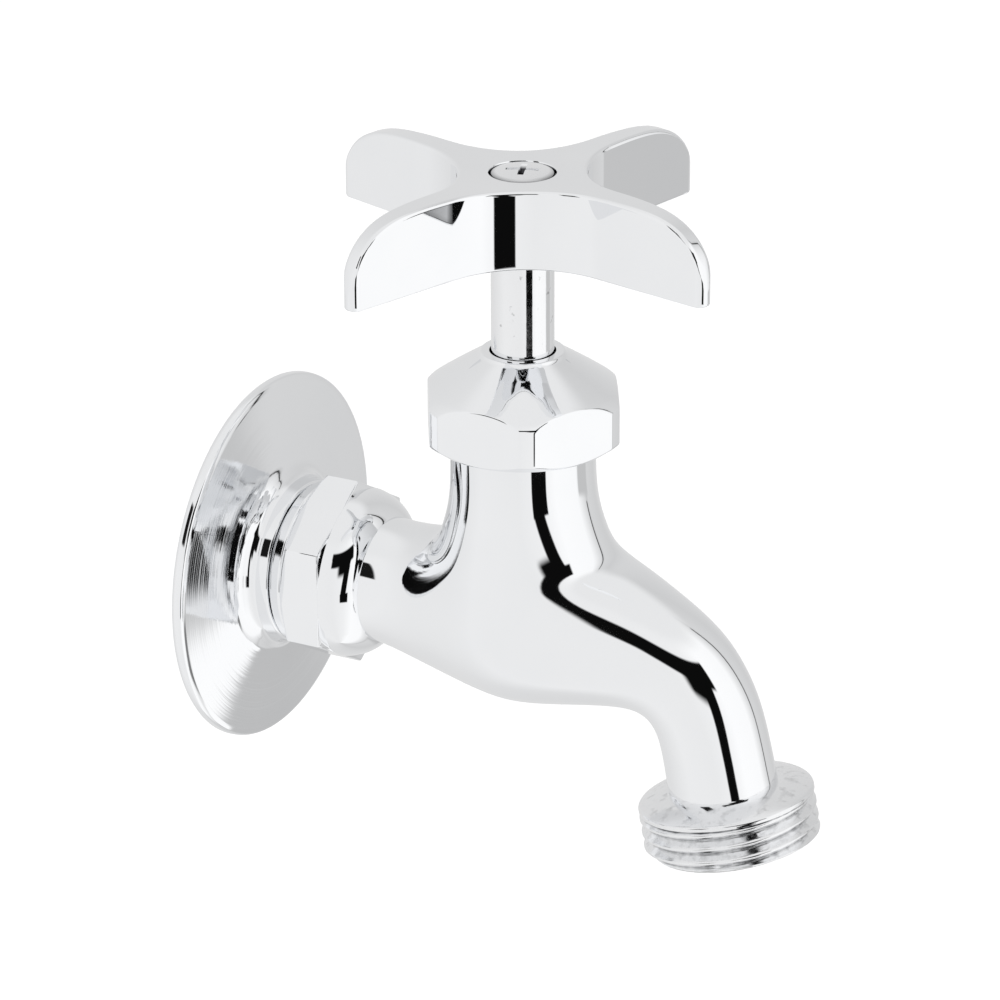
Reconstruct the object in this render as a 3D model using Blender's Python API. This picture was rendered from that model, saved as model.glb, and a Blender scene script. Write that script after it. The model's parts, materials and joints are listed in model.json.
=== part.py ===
"""A chrome-plated brass hose bib: a wall sill faucet with a four-arm handle.

The wall is the plane y = 0, the supply comes in along the Y axis, and the faucet reaches out towards -Y.
The valve stands upright on the axis (0, VALVE_Y). All lengths are in metres, +Z is up.
"""

from math import atan2, cos, hypot, pi, radians, sin, sqrt

import bmesh
import bpy
from mathutils import Euler, Vector

MM = 0.001

# Where the axes lie.
VALVE_Y = -45.4 * MM
OUTLET_Y = -80.1 * MM
OUTLET_Z = -24.2 * MM
OUTLET = (0, OUTLET_Y, OUTLET_Z)
OUTLET_TURN = (radians(-10.5), 0, 0)

# Clearance that separate pieces keep from each other.
GAP = 0.3 * MM

# Wall flange.
FLANGE_RADIUS = 29.0 * MM
FLANGE_RIM = 1.8 * MM
FLANGE_HUB_RADIUS = 13.0 * MM
FLANGE_HUB_END = 7.6 * MM
FLANGE_HOLE = 11.2 * MM

# Inlet end of the body: a turned ring, a hexagon and a round shoulder.
INLET_BACK = FLANGE_HUB_END + GAP
INLET_HEX_BACK = 9.9 * MM
INLET_HEX_FRONT = 16.3 * MM
INLET_HEX_APOTHEM = 13.2 * MM
INLET_BORE = 10.3 * MM
INLET_BORE_END = 18.5 * MM

# Neck of the body, and the chamber that the valve hangs in.
NECK_TOP = 32.6 * MM
CHAMBER_RADIUS = 8.9 * MM
CHAMBER_FLOOR = 1.3 * MM
SEAT_HOLE = 5.5 * MM

# Hose nipple: 3/4 inch garden hose thread, 11.5 turns to the inch.
HOSE_MAJOR = 13.49 * MM
HOSE_MINOR = 12.3 * MM
HOSE_PITCH = 25.4 / 11.5 * MM
HOSE_CRESTS = 4
HOSE_END = 7.6 * MM
HOSE_SHOULDER = 1.7 * MM
HOSE_RIM = 0.4 * MM
SHOULDER_STEPS = 5
SHOULDER_CURVE = 1.6
HOSE_BORE = 8.0 * MM
SPOUT_RADIUS = 8.5 * MM

# Cap nut.
NUT_APOTHEM = 14.2 * MM
NUT_CORNER = 15.7 * MM
NUT_BOTTOM = 27.8 * MM
NUT_TOP = 42.1 * MM
NUT_THREAD = 11.3 * MM
STEM_HOLE = 5.0 * MM

# Sleeve that carries the valve.
SLEEVE_OUTER = 8.5 * MM
SLEEVE_BORE = 6.7 * MM
SLEEVE_BOTTOM = 4.9 * MM
SLEEVE_ROOF = 31.6 * MM
SLEEVE_TOP = 36.2 * MM
WINDOW_WIDTH = 5.0 * MM
WINDOW_BOTTOM = 5.9 * MM
WINDOW_TOP = 15.0 * MM

# Stem and what it turns.
STEM_RADIUS = 4.7 * MM
STEM_SHOULDER = 57.7 * MM
STEM_TOP = 64.5 * MM
DRIVE_HALF = 3.2 * MM
THREAD_RADIUS = 3.3 * MM
ORING_HEIGHTS = {"stem_oring_lower": 33.0 * MM, "stem_oring_upper": 35.0 * MM}

# Plunger: a keyed piston that the stem's thread lifts.
PLUNGER_RADIUS = 6.3 * MM
PLUNGER_BOTTOM = 8.8 * MM
PLUNGER_TOP = 23.4 * MM

# Four-arm handle. Its arms taper, and round fillets join them.
HANDLE_BOTTOM = 58.1 * MM
HANDLE_TOP = 70.1 * MM
ARM_LENGTH = 36.6 * MM
ARM_TIP_HALF = 1.3 * MM
ARM_TAPER = 0.05
ARM_WAIST = 9.7 * MM
ARM_REST_ANGLE = radians(-15.6)
SCREW_HEAD_RADIUS = 4.7 * MM
SCREW_HEAD_TOP = 70.6 * MM

AROUND = 36
AROUND_SMALL = 24

FINISHES = {
    "chrome": ((0.80, 0.81, 0.82), 0.06, 1.0),
    "stem_chrome": ((0.78, 0.79, 0.80), 0.12, 1.0),
    "brass": ((0.72, 0.52, 0.22), 0.30, 1.0),
    "steel": ((0.60, 0.61, 0.62), 0.28, 1.0),
    "black_rubber": ((0.02, 0.02, 0.02), 0.75, 0.0),
    "fibre": ((0.30, 0.12, 0.07), 0.85, 0.0),
    "graphite": ((0.05, 0.05, 0.055), 0.55, 0.0),
}


def clear_scene():
    for obj in list(bpy.data.objects):
        bpy.data.objects.remove(obj)


def finish_of(name):
    """The material of this name, made on first use."""
    if name in bpy.data.materials:
        return bpy.data.materials[name]
    colour, roughness, metallic = FINISHES[name]
    material = bpy.data.materials.new(name)
    material.use_nodes = True
    shader = material.node_tree.nodes["Principled BSDF"]
    shader.inputs["Base Color"].default_value = (*colour, 1)
    shader.inputs["Roughness"].default_value = roughness
    shader.inputs["Metallic"].default_value = metallic
    return material


def from_bmesh(name, bm, finish=None, location=(0, 0, 0), rotation=(0, 0, 0)):
    """An object holding this mesh, with its faces out. Without a finish it is a hidden helper."""
    bmesh.ops.recalc_face_normals(bm, faces=bm.faces)
    mesh = bpy.data.meshes.new(name)
    bm.to_mesh(mesh)
    bm.free()
    mesh.shade_smooth()
    mesh.set_sharp_from_angle(angle=radians(35))
    obj = bpy.data.objects.new(name, mesh)
    obj.location = location
    obj.rotation_euler = rotation
    bpy.context.scene.collection.objects.link(obj)
    if finish:
        mesh.materials.append(finish_of(finish))
    else:
        obj.hide_render = True
        obj.display_type = "WIRE"
    return obj


def turned(name, profile, finish=None, segments=AROUND, location=(0, 0, 0), rotation=(0, 0, 0)):
    """A solid turned about its own Z axis from a closed profile of (radius, height) points.

    A profile that starts and ends at radius 0 makes a solid bar, and any other makes a ring.
    """
    bm = bmesh.new()
    rings = []
    for radius, height in profile:
        if radius == 0:
            rings.append([bm.verts.new((0, 0, height))] * segments)
            continue
        turn = [2 * pi * i / segments for i in range(segments)]
        rings.append([bm.verts.new((radius * cos(a), radius * sin(a), height)) for a in turn])
    pairs = list(zip(rings, rings[1:]))
    if profile[0][0] != 0:
        pairs.append((rings[-1], rings[0]))
    for lower, upper in pairs:
        for i in range(segments):
            j = (i + 1) % segments
            corners = list(dict.fromkeys([lower[i], lower[j], upper[j], upper[i]]))
            if len(corners) > 2:
                bm.faces.new(corners)
    return from_bmesh(name, bm, finish, location, rotation)


def bar(
    name, radius, bottom, top, finish=None, segments=AROUND_SMALL, location=(0, 0, 0), rotation=(0, 0, 0)
):
    profile = [(0, bottom), (radius, bottom), (radius, top), (0, top)]
    return turned(name, profile, finish, segments, location, rotation)


def washer(name, inner, outer, bottom, top, finish, segments=AROUND_SMALL):
    profile = [(inner, bottom), (outer, bottom), (outer, top), (inner, top)]
    return turned(name, profile, finish, segments, valve_at(0))


def prism(name, outline, bottom, top, location=(0, 0, 0), rotation=(0, 0, 0)):
    """A hidden cutter with an upright side on each edge of the outline."""
    bm = bmesh.new()
    lower = [bm.verts.new((x, y, bottom)) for x, y in outline]
    upper = [bm.verts.new((x, y, top)) for x, y in outline]
    bm.faces.new(lower)
    bm.faces.new(upper)
    for i in range(len(outline)):
        j = (i + 1) % len(outline)
        bm.faces.new((lower[i], lower[j], upper[j], upper[i]))
    return from_bmesh(name, bm, None, location, rotation)


def block(name, size, centre, rotation=(0, 0, 0)):
    x, y, z = (side / 2 for side in size)
    return prism(name, [(-x, -y), (x, -y), (x, y), (-x, y)], -z, z, centre, rotation)


def hexagon(apothem):
    """Corners on the +Y and -Y axes, so that two flats face +X and -X."""
    corner = apothem / cos(pi / 6)
    return [(corner * sin(i * pi / 3), corner * cos(i * pi / 3)) for i in range(6)]


def combine(obj, other, operation):
    step = obj.modifiers.new(f"{operation.lower()} {other.name}", "BOOLEAN")
    step.operation = operation
    step.object = other
    step.solver = "EXACT"


def valve_at(z):
    return (0, VALVE_Y, z)


def quarter(r0, z0, r1, z1, bulge_first, steps=4):
    """Points of a quarter ellipse between two profile points, leaving the first along r or along z."""
    points = []
    for i in range(steps + 1):
        a = pi / 2 * i / steps
        along, across = (sin(a), 1 - cos(a)) if bulge_first == "r" else (1 - cos(a), sin(a))
        points.append((r0 + (r1 - r0) * along, z0 + (z1 - z0) * across))
    return points


# ---- body -----------------------------------------------------------------------------------

# Centre line of the casting from the inlet to the outlet, as (distance from wall, height, radius) in mm.
# The three middle stations carry the neck.
BEFORE_NECK = [(16.5, 0, 9.9), (20.5, 0, 9.8), (24.5, -0.3, 9.7), (30, -0.9, 10.6)]
UNDER_NECK = [(37.5, -0.3, 13.3), (45.4, 1.2, 15.7), (53.4, 0.0, 14.2)]
AFTER_NECK = [
    (60.8, -1.3, 11.6),
    (67.4, -2.7, 9.7),
    (73.2, -5.4, 8.8),
    (76.7, -10.4, 8.3),
    (78.2, -15.6, 8.2),
    (79.1, -20.0, 8.3),
    (79.8, -23.4, 8.4),
]
RING = 16

# Loops of the neck from its base upwards, each as radii and heights in mm at the back, side and front.
NECK_LOOPS = [
    ((13.8, 12.6, 14.8), (9.4, 8.6, 10.2)),
    ((12.0, 11.5, 12.6), (14.4, 14.0, 14.8)),
    ((11.0, 11.0, 11.3), (19.0, 19.0, 19.4)),
    ((11.0, 11.0, 11.0), (24.5, 24.5, 24.5)),
    ((11.0, 11.0, 11.0), (32.3, 32.3, 32.3)),
    ((11.0, 11.0, 11.0), (32.6, 32.6, 32.6)),
]


# Waterways on each side of the valve seat, as (y, height, radius) in mm.
INLET_PASSAGE = [
    (-17.5, 0, 6.0),
    (-24.0, -1.0, 6.0),
    (-34.0, -4.2, 5.4),
    (-40.0, -5.4, 5.2),
    (-45.4, -5.6, 5.2),
    (-50.2, -5.6, 4.4),
]
SPOUT_PASSAGE = [
    (-50.0, 9.6, 4.2),
    (-55.0, 7.0, 4.9),
    (-60.5, 2.6, 5.4),
    (-66.4, -1.8, 5.8),
    (-72.8, -5.4, 6.1),
    (-76.7, -10.2, 6.2),
    (-78.2, -15.6, 6.2),
    (-79.6, -22.0, 6.3),
    (-80.6, -27.4, 6.3),
]


def casting_stations():
    """(centre, outward direction in the plane of symmetry, radius) of each ring of the cage."""
    stations = [(Vector((0, -y * MM, z * MM)), r * MM) for y, z, r in BEFORE_NECK + UNDER_NECK + AFTER_NECK]
    found = []
    for i, (centre, radius) in enumerate(stations):
        ahead = stations[min(i + 1, len(stations) - 1)][0]
        behind = stations[max(i - 1, 0)][0]
        along = (ahead - behind).normalized()
        found.append((centre, Vector((0, along.z, -along.y)), radius))
    return found


def neck_loop(bm, radii, heights, swell):
    """A loop round the valve axis, starting at the wall side, blended between its back, sides and front."""
    loop = []
    for i in range(RING):
        a = 2 * pi * i / RING
        end = 0 if cos(a) > 0 else 2
        radius, height = ((ring[1] + (ring[end] - ring[1]) * cos(a) ** 2) * MM for ring in (radii, heights))
        loop.append(bm.verts.new((swell * radius * sin(a), VALVE_Y + swell * radius * cos(a), height)))
    return loop


def casting_cage():
    """The cage of the cast body: a bent tube with a neck rising from its middle.

    The rings at the back and front of the neck share their upper vertices with the neck's first loop.
    """
    bm = bmesh.new()
    swell = 3 / (2 + cos(2 * pi / RING))
    neck = neck_loop(bm, *NECK_LOOPS[0], swell)
    back, middle, front = len(BEFORE_NECK), len(BEFORE_NECK) + 1, len(BEFORE_NECK) + 2
    quarter_turn = RING // 4
    rings = []
    for n, (centre, outward, radius) in enumerate(casting_stations()):
        ring = []
        for i in range(RING):
            a = 2 * pi * i / RING
            upper = cos(a) > 0.01
            if n == back and upper:
                ring.append(neck[i])
            elif n == front and upper:
                ring.append(neck[(RING // 2 - i) % RING])
            elif n == middle and upper:
                ring.append(None)
            else:
                spot = centre + radius * swell * (sin(a) * Vector((1, 0, 0)) + cos(a) * outward)
                ring.append(bm.verts.new(spot))
        rings.append(ring)
    rings[middle][quarter_turn - 1] = neck[quarter_turn]
    rings[middle][1 - quarter_turn] = neck[-quarter_turn]
    for ring, following in zip(rings, rings[1:]):
        for i in range(RING):
            j = (i + 1) % RING
            corners = [ring[i], ring[j], following[j], following[i]]
            if None not in corners:
                bm.faces.new(corners)
    bm.faces.new(rings[0])
    bm.faces.new(rings[-1])
    for radii, heights in NECK_LOOPS[1:]:
        loop = neck_loop(bm, radii, heights, swell)
        for i in range(RING):
            j = (i + 1) % RING
            bm.faces.new((neck[i], neck[j], loop[j], loop[i]))
        neck = loop
    bm.faces.new(neck)
    return bm


def swept(name, path, segments=16):
    """A hidden bent bar through (y, z, radius) stations in the plane of symmetry, given in mm."""
    bm = bmesh.new()
    stations = [(Vector((0, y * MM, z * MM)), r * MM) for y, z, r in path]
    rings = []
    for i, (centre, radius) in enumerate(stations):
        ahead = stations[min(i + 1, len(stations) - 1)][0]
        behind = stations[max(i - 1, 0)][0]
        along = (ahead - behind).normalized()
        outward = Vector((0, along.z, -along.y))
        turn = [2 * pi * k / segments for k in range(segments)]
        spots = [centre + radius * (sin(a) * Vector((1, 0, 0)) + cos(a) * outward) for a in turn]
        rings.append([bm.verts.new(spot) for spot in spots])
    for ring, following in zip(rings, rings[1:]):
        for k in range(segments):
            m = (k + 1) % segments
            bm.faces.new((ring[k], ring[m], following[m], following[k]))
    bm.faces.new(rings[0])
    bm.faces.new(rings[-1])
    return from_bmesh(name, bm)


def inlet_end():
    """The turned ring, hexagon and round shoulder at the inlet, as one hidden solid along -Y."""
    shoulder_end = 21.5 * MM
    hex_corner = INLET_HEX_APOTHEM / cos(pi / 6) - 0.25 * MM
    profile = [
        (0, INLET_BACK),
        (12.4 * MM, INLET_BACK),
        (13.0 * MM, INLET_BACK + 0.6 * MM),
        (13.0 * MM, INLET_HEX_BACK - 0.3 * MM),
        (hex_corner, INLET_HEX_BACK + 1.2 * MM),
        (hex_corner, INLET_HEX_FRONT),
    ]
    profile += quarter(14.2 * MM, INLET_HEX_FRONT + 0.1 * MM, 9.4 * MM, shoulder_end, "z")
    profile.append((0, shoulder_end))
    towards_spout = Euler((pi / 2, 0, 0))
    end = turned("inlet_end_form", profile, None, AROUND, (0, 0, 0), towards_spout)
    flats = prism("inlet_hexagon_form", hexagon(INLET_HEX_APOTHEM), 5 * MM, 30 * MM, (0, 0, 0), towards_spout)
    combine(end, flats, "INTERSECT")
    return end


def hose_nipple():
    """The threaded outlet, turned about the tilted outlet axis. Height 0 is its first crest."""
    profile = [(0, HOSE_SHOULDER)]
    inside = SPOUT_RADIUS + 0.3 * MM
    for i in range(SHOULDER_STEPS + 1):
        t = i / SHOULDER_STEPS
        fall = (HOSE_SHOULDER - HOSE_RIM) * t**SHOULDER_CURVE
        profile.append((inside + (HOSE_MAJOR - inside) * t, HOSE_SHOULDER - fall))
    for i in range(HOSE_CRESTS):
        crest = -i * HOSE_PITCH
        profile.append((HOSE_MAJOR, crest + 0.25 * MM))
        profile.append((HOSE_MAJOR, crest - 0.25 * MM))
        if i < HOSE_CRESTS - 1:
            profile.append((HOSE_MINOR, crest - HOSE_PITCH / 2))
    profile.append((HOSE_MINOR - 0.6 * MM, -HOSE_END))
    profile.append((0, -HOSE_END))
    return turned("hose_nipple_form", profile[::-1], None, AROUND, OUTLET, OUTLET_TURN)


def make_body():
    """The casting, its inlet end and hose nipple in one piece, with the waterways cut through it."""
    body = from_bmesh("body", casting_cage(), "chrome")
    smooth = body.modifiers.new("smooth casting", "SUBSURF")
    smooth.levels = 1
    smooth.render_levels = 1
    combine(body, inlet_end(), "UNION")
    combine(body, hose_nipple(), "UNION")
    inlet_bore = bar(
        "inlet_bore", INLET_BORE, 5 * MM, INLET_BORE_END, None, AROUND, (0, 0, 0), (pi / 2, 0, 0)
    )
    combine(body, inlet_bore, "DIFFERENCE")
    combine(body, swept("inlet_passage", INLET_PASSAGE), "DIFFERENCE")
    chamber = [(0, -5 * MM), (SEAT_HOLE, -5 * MM), (SEAT_HOLE, CHAMBER_FLOOR)]
    chamber += [(CHAMBER_RADIUS, CHAMBER_FLOOR), (CHAMBER_RADIUS, 40 * MM), (0, 40 * MM)]
    combine(body, turned("valve_chamber", chamber, None, AROUND, valve_at(0)), "DIFFERENCE")
    combine(body, swept("spout_passage", SPOUT_PASSAGE), "DIFFERENCE")
    hose_bore = bar("hose_bore", HOSE_BORE, -20 * MM, 0, None, AROUND_SMALL, OUTLET, OUTLET_TURN)
    combine(body, hose_bore, "DIFFERENCE")
    return body


# ---- pieces that stay with the body ---------------------------------------------------------


def make_wall_flange():
    rim = FLANGE_RADIUS
    profile = [
        (FLANGE_HOLE, 0),
        (rim - 0.6 * MM, 0),
        (rim, 0.6 * MM),
        (rim - 0.2 * MM, FLANGE_RIM),
        (rim - 1.0 * MM, FLANGE_RIM + 0.25 * MM),
        (FLANGE_HUB_RADIUS + 1.6 * MM, 3.4 * MM),
        (FLANGE_HUB_RADIUS + 0.5 * MM, 4.0 * MM),
        (FLANGE_HUB_RADIUS, 5.2 * MM),
        (FLANGE_HUB_RADIUS, FLANGE_HUB_END - 0.6 * MM),
        (FLANGE_HUB_RADIUS - 0.6 * MM, FLANGE_HUB_END),
        (FLANGE_HOLE, FLANGE_HUB_END),
    ]
    turned("wall_flange", profile, "chrome", 60, (0, 0, 0), (pi / 2, 0, 0))


def make_cap_nut():
    """A hexagon nut with a turned cone, chamfered below. Its packing cavity is bored from inside."""
    profile = [
        (NUT_THREAD, NUT_BOTTOM),
        (13.8 * MM, NUT_BOTTOM),
        (NUT_CORNER, NUT_BOTTOM + 1.4 * MM),
        (NUT_CORNER, 35.0 * MM),
        (14.5 * MM, 36.4 * MM),
        (10.0 * MM, 39.5 * MM),
        (7.2 * MM, 41.3 * MM),
        (6.6 * MM, NUT_TOP),
        (STEM_HOLE, NUT_TOP),
        (STEM_HOLE, 40.3 * MM),
        (7.8 * MM, 40.3 * MM),
        (7.8 * MM, SLEEVE_TOP + GAP),
        (NUT_THREAD, SLEEVE_TOP + GAP),
    ]
    nut = turned("cap_nut", profile, "chrome", 48, valve_at(0))
    combine(nut, prism("cap_nut_hexagon", hexagon(NUT_APOTHEM), 20 * MM, 50 * MM, valve_at(0)), "INTERSECT")


def make_valve_sleeve():
    groove = (27.4 * MM, 28.6 * MM)
    profile = [
        (SLEEVE_BORE, SLEEVE_BOTTOM),
        (SLEEVE_OUTER, SLEEVE_BOTTOM),
        (SLEEVE_OUTER, 34.2 * MM),
        (10.7 * MM, 34.2 * MM),
        (10.7 * MM, SLEEVE_TOP),
        (STEM_HOLE, SLEEVE_TOP),
        (STEM_HOLE, SLEEVE_ROOF),
        (SLEEVE_BORE, SLEEVE_ROOF),
        (SLEEVE_BORE, groove[1]),
        (7.6 * MM, groove[1]),
        (7.6 * MM, groove[0]),
        (SLEEVE_BORE, groove[0]),
    ]
    sleeve = turned("valve_sleeve", profile, "brass", AROUND, valve_at(0))
    height = WINDOW_TOP - WINDOW_BOTTOM
    middle = (WINDOW_TOP + WINDOW_BOTTOM) / 2
    for i in range(2):
        size = (30 * MM, WINDOW_WIDTH, height)
        cutter = block(f"sleeve_window_{i}", size, valve_at(middle), (0, 0, i * pi / 2))
        combine(sleeve, cutter, "DIFFERENCE")


def make_seat():
    profile = [
        (4.4 * MM, 2.5 * MM),
        (8.4 * MM, 2.5 * MM),
        (8.4 * MM, 4.6 * MM),
        (5.9 * MM, 4.6 * MM),
        (5.5 * MM, 5.2 * MM),
        (4.4 * MM, 5.2 * MM),
    ]
    turned("seat_ring", profile, "brass", AROUND_SMALL, valve_at(0))
    washer("seat_gasket", 5.8 * MM, 8.4 * MM, 1.6 * MM, 2.2 * MM, "fibre")


def make_sleeve_gasket():
    washer("sleeve_gasket", 9.0 * MM, 10.7 * MM, NECK_TOP + GAP, 33.9 * MM, "fibre")


def make_packing():
    washer("packing_washer", STEM_HOLE, 7.5 * MM, 36.5 * MM, 37.1 * MM, "brass")
    profile = [
        (4.95 * MM, 37.4 * MM),
        (7.5 * MM, 37.4 * MM),
        (7.5 * MM, 39.4 * MM),
        (6.9 * MM, 40.0 * MM),
        (4.95 * MM, 40.0 * MM),
    ]
    turned("stem_packing", profile, "graphite", AROUND_SMALL, valve_at(0))


def make_stem_retainers():
    """The washer above the stem's collar, and the open ring below it that keeps the stem in."""
    washer("friction_washer", STEM_HOLE, 6.4 * MM, 30.9 * MM, 31.3 * MM, "steel")
    bm = bmesh.new()
    opening = radians(26)
    steps = 24
    rings = []
    for i in range(steps + 1):
        a = opening / 2 + (2 * pi - opening) * i / steps
        section = [(4.9, 27.7), (7.3, 27.7), (7.3, 28.3), (4.9, 28.3)]
        rings.append([bm.verts.new((r * MM * cos(a), r * MM * sin(a), z * MM)) for r, z in section])
    for ring, following in zip(rings, rings[1:]):
        for k in range(4):
            m = (k + 1) % 4
            bm.faces.new((ring[k], ring[m], following[m], following[k]))
    bm.faces.new(rings[0])
    bm.faces.new(rings[-1])
    from_bmesh("snap_ring", bm, "steel", valve_at(0))


# ---- pieces that turn with the handle -------------------------------------------------------


def o_ring(name, centre_radius, thickness, height):
    section = [2 * pi * i / 8 for i in range(8)]
    profile = [(centre_radius + thickness * cos(a), height + thickness * sin(a)) for a in section]
    turned(name, profile, "black_rubber", AROUND_SMALL, valve_at(0))


def make_stem():
    groove_floor = 3.3 * MM
    groove_half = 0.65 * MM
    collar = [(6.3 * MM, 28.9 * MM), (6.3 * MM, 30.6 * MM)]
    profile = [(0, 16.4 * MM), (THREAD_RADIUS - 0.5 * MM, 16.4 * MM), (THREAD_RADIUS, 16.9 * MM)]
    profile += [(THREAD_RADIUS, 27.0 * MM), (4.5 * MM, 27.0 * MM), (4.5 * MM, 28.9 * MM)]
    profile += collar + [(STEM_RADIUS, 30.6 * MM)]
    for height in ORING_HEIGHTS.values():
        profile += [(STEM_RADIUS, height - groove_half), (groove_floor, height - groove_half)]
        profile += [(groove_floor, height + groove_half), (STEM_RADIUS, height + groove_half)]
    profile += [(STEM_RADIUS, STEM_SHOULDER - 0.6 * MM), (4.1 * MM, STEM_SHOULDER)]
    profile += [(0, STEM_SHOULDER)]
    stem = turned("stem", profile, "stem_chrome", AROUND_SMALL, valve_at(0), (0, 0, ARM_REST_ANGLE))
    side = 2 * DRIVE_HALF
    length = STEM_TOP - STEM_SHOULDER + 2 * MM
    middle = STEM_TOP - length / 2
    drive = block("stem_drive_form", (side, side, length), valve_at(middle), (0, 0, ARM_REST_ANGLE))
    combine(stem, drive, "UNION")
    combine(stem, bar("stem_screw_hole", 2.2 * MM, 56.5 * MM, 70 * MM, None, 16, valve_at(0)), "DIFFERENCE")
    for name, height in ORING_HEIGHTS.items():
        o_ring(name, 4.15 * MM, 0.5 * MM, height)


def handle_plan():
    """The four-arm outline: each arm tapers to a blunt tip, and a round fillet joins each pair."""
    slope = hypot(1, ARM_TAPER)
    tip = ARM_LENGTH + 1 * MM
    root_half = ARM_TIP_HALF + ARM_TAPER * ARM_LENGTH
    # The fillet touches both sides and passes ARM_WAIST from the middle.
    radius = (ARM_WAIST * (1 + ARM_TAPER) / sqrt(2) - root_half) / (slope - (1 + ARM_TAPER) / sqrt(2))
    centre = (ARM_WAIST + radius) / sqrt(2)
    sweep = pi / 4 - atan2(ARM_TAPER, 1)
    steps = 5
    side = [(tip, root_half - ARM_TAPER * tip)]
    for i in range(steps + 1):
        angle = pi * 5 / 4 + sweep * (1 - i / steps)
        side.append((centre + radius * cos(angle), centre + radius * sin(angle)))
    outline = []
    for arm in range(4):
        turn = arm * pi / 2
        right = [(x, -y) for x, y in reversed(side[:-1])]
        for x, y in right + side:
            outline.append((x * cos(turn) - y * sin(turn), x * sin(turn) + y * cos(turn)))
    return outline


def make_handle():
    """A round dish cut to the four-arm plan, with a square socket below and a screw recess above."""
    profile = [
        (0, HANDLE_BOTTOM),
        (35.6 * MM, HANDLE_BOTTOM),
        (36.3 * MM, HANDLE_BOTTOM + 0.8 * MM),
        (ARM_LENGTH, 61.0 * MM),
        (36.1 * MM, 63.6 * MM),
        (34.8 * MM, 66.3 * MM),
        (32.4 * MM, 68.6 * MM),
        (29.0 * MM, 70.0 * MM),
        (22.0 * MM, 70.7 * MM),
        (12.0 * MM, 70.5 * MM),
        (0, HANDLE_TOP),
    ]
    handle = turned("handle", profile, "chrome", 60, valve_at(0), (0, 0, ARM_REST_ANGLE))
    plan = prism("handle_plan_form", handle_plan(), 50 * MM, 80 * MM, valve_at(0), (0, 0, ARM_REST_ANGLE))
    combine(handle, plan, "INTERSECT")
    size = (6.9 * MM, 6.9 * MM, 15 * MM)
    socket = block("handle_socket", size, valve_at(57.5 * MM), (0, 0, ARM_REST_ANGLE))
    combine(handle, socket, "DIFFERENCE")
    combine(handle, bar("handle_screw_hole", 2.3 * MM, 60 * MM, 80 * MM, None, 16, valve_at(0)), "DIFFERENCE")
    recess = bar(
        "handle_screw_recess", SCREW_HEAD_RADIUS + GAP, 68.2 * MM, 80 * MM, None, AROUND_SMALL, valve_at(0)
    )
    combine(handle, recess, "DIFFERENCE")


def make_handle_screw():
    head_bottom = 68.5 * MM
    profile = [(0, 57.5 * MM), (1.9 * MM, 57.5 * MM), (1.9 * MM, head_bottom)]
    profile += [(SCREW_HEAD_RADIUS, head_bottom), (SCREW_HEAD_RADIUS, 70.1 * MM)]
    profile += [(3.6 * MM, SCREW_HEAD_TOP - 0.1 * MM), (0, SCREW_HEAD_TOP)]
    screw = turned("handle_screw", profile, "chrome", AROUND_SMALL, valve_at(0), (0, 0, ARM_REST_ANGLE))
    for i in range(2):
        size = (4.4 * MM, 0.9 * MM, 2.4 * MM)
        slot = block(f"screw_slot_{i}", size, valve_at(SCREW_HEAD_TOP), (0, 0, ARM_REST_ANGLE + i * pi / 2))
        combine(screw, slot, "DIFFERENCE")


# ---- pieces that rise with the plunger ------------------------------------------------------


def make_plunger():
    """The piston: threaded inside, with two keys that slide in the sleeve's windows."""
    groove = (19.2 * MM, 20.8 * MM)
    profile = [
        (0, PLUNGER_BOTTOM),
        (PLUNGER_RADIUS, PLUNGER_BOTTOM),
        (PLUNGER_RADIUS, groove[0]),
        (5.1 * MM, groove[0]),
        (5.1 * MM, groove[1]),
        (PLUNGER_RADIUS, groove[1]),
        (PLUNGER_RADIUS, PLUNGER_TOP),
        (THREAD_RADIUS + GAP, PLUNGER_TOP),
        (THREAD_RADIUS + GAP, 12.8 * MM),
        (0, 12.8 * MM),
    ]
    plunger = turned("plunger", profile, "brass", AROUND_SMALL, valve_at(0))
    keys = block("plunger_keys_form", (16.2 * MM, 4.2 * MM, 2.0 * MM), valve_at(10.2 * MM))
    combine(plunger, keys, "UNION")
    screw_hole = bar("plunger_screw_hole", 1.7 * MM, 5 * MM, 11.6 * MM, None, 16, valve_at(0))
    combine(plunger, screw_hole, "DIFFERENCE")
    o_ring("plunger_oring", 5.95 * MM, 0.55 * MM, 20.0 * MM)


def make_seat_washer():
    washer("seat_washer", 1.8 * MM, 5.9 * MM, 5.5 * MM, 8.5 * MM, "black_rubber")
    profile = [(0, 3.9 * MM), (2.5 * MM, 3.9 * MM), (2.9 * MM, 4.3 * MM), (2.9 * MM, 5.2 * MM)]
    profile += [(1.4 * MM, 5.2 * MM), (1.4 * MM, 11.3 * MM), (0, 11.3 * MM)]
    turned("washer_screw", profile, "brass", 24, valve_at(0))


clear_scene()
make_body()
make_wall_flange()
make_cap_nut()
make_valve_sleeve()
make_seat()
make_sleeve_gasket()
make_packing()
make_stem_retainers()
make_stem()
make_handle()
make_handle_screw()
make_plunger()
make_seat_washer()
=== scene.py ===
import json
from math import acos, atan2, cos, hypot, pi, radians, sin, sqrt

import bmesh
import bpy
import numpy as np
from mathutils import Matrix, Vector


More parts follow.
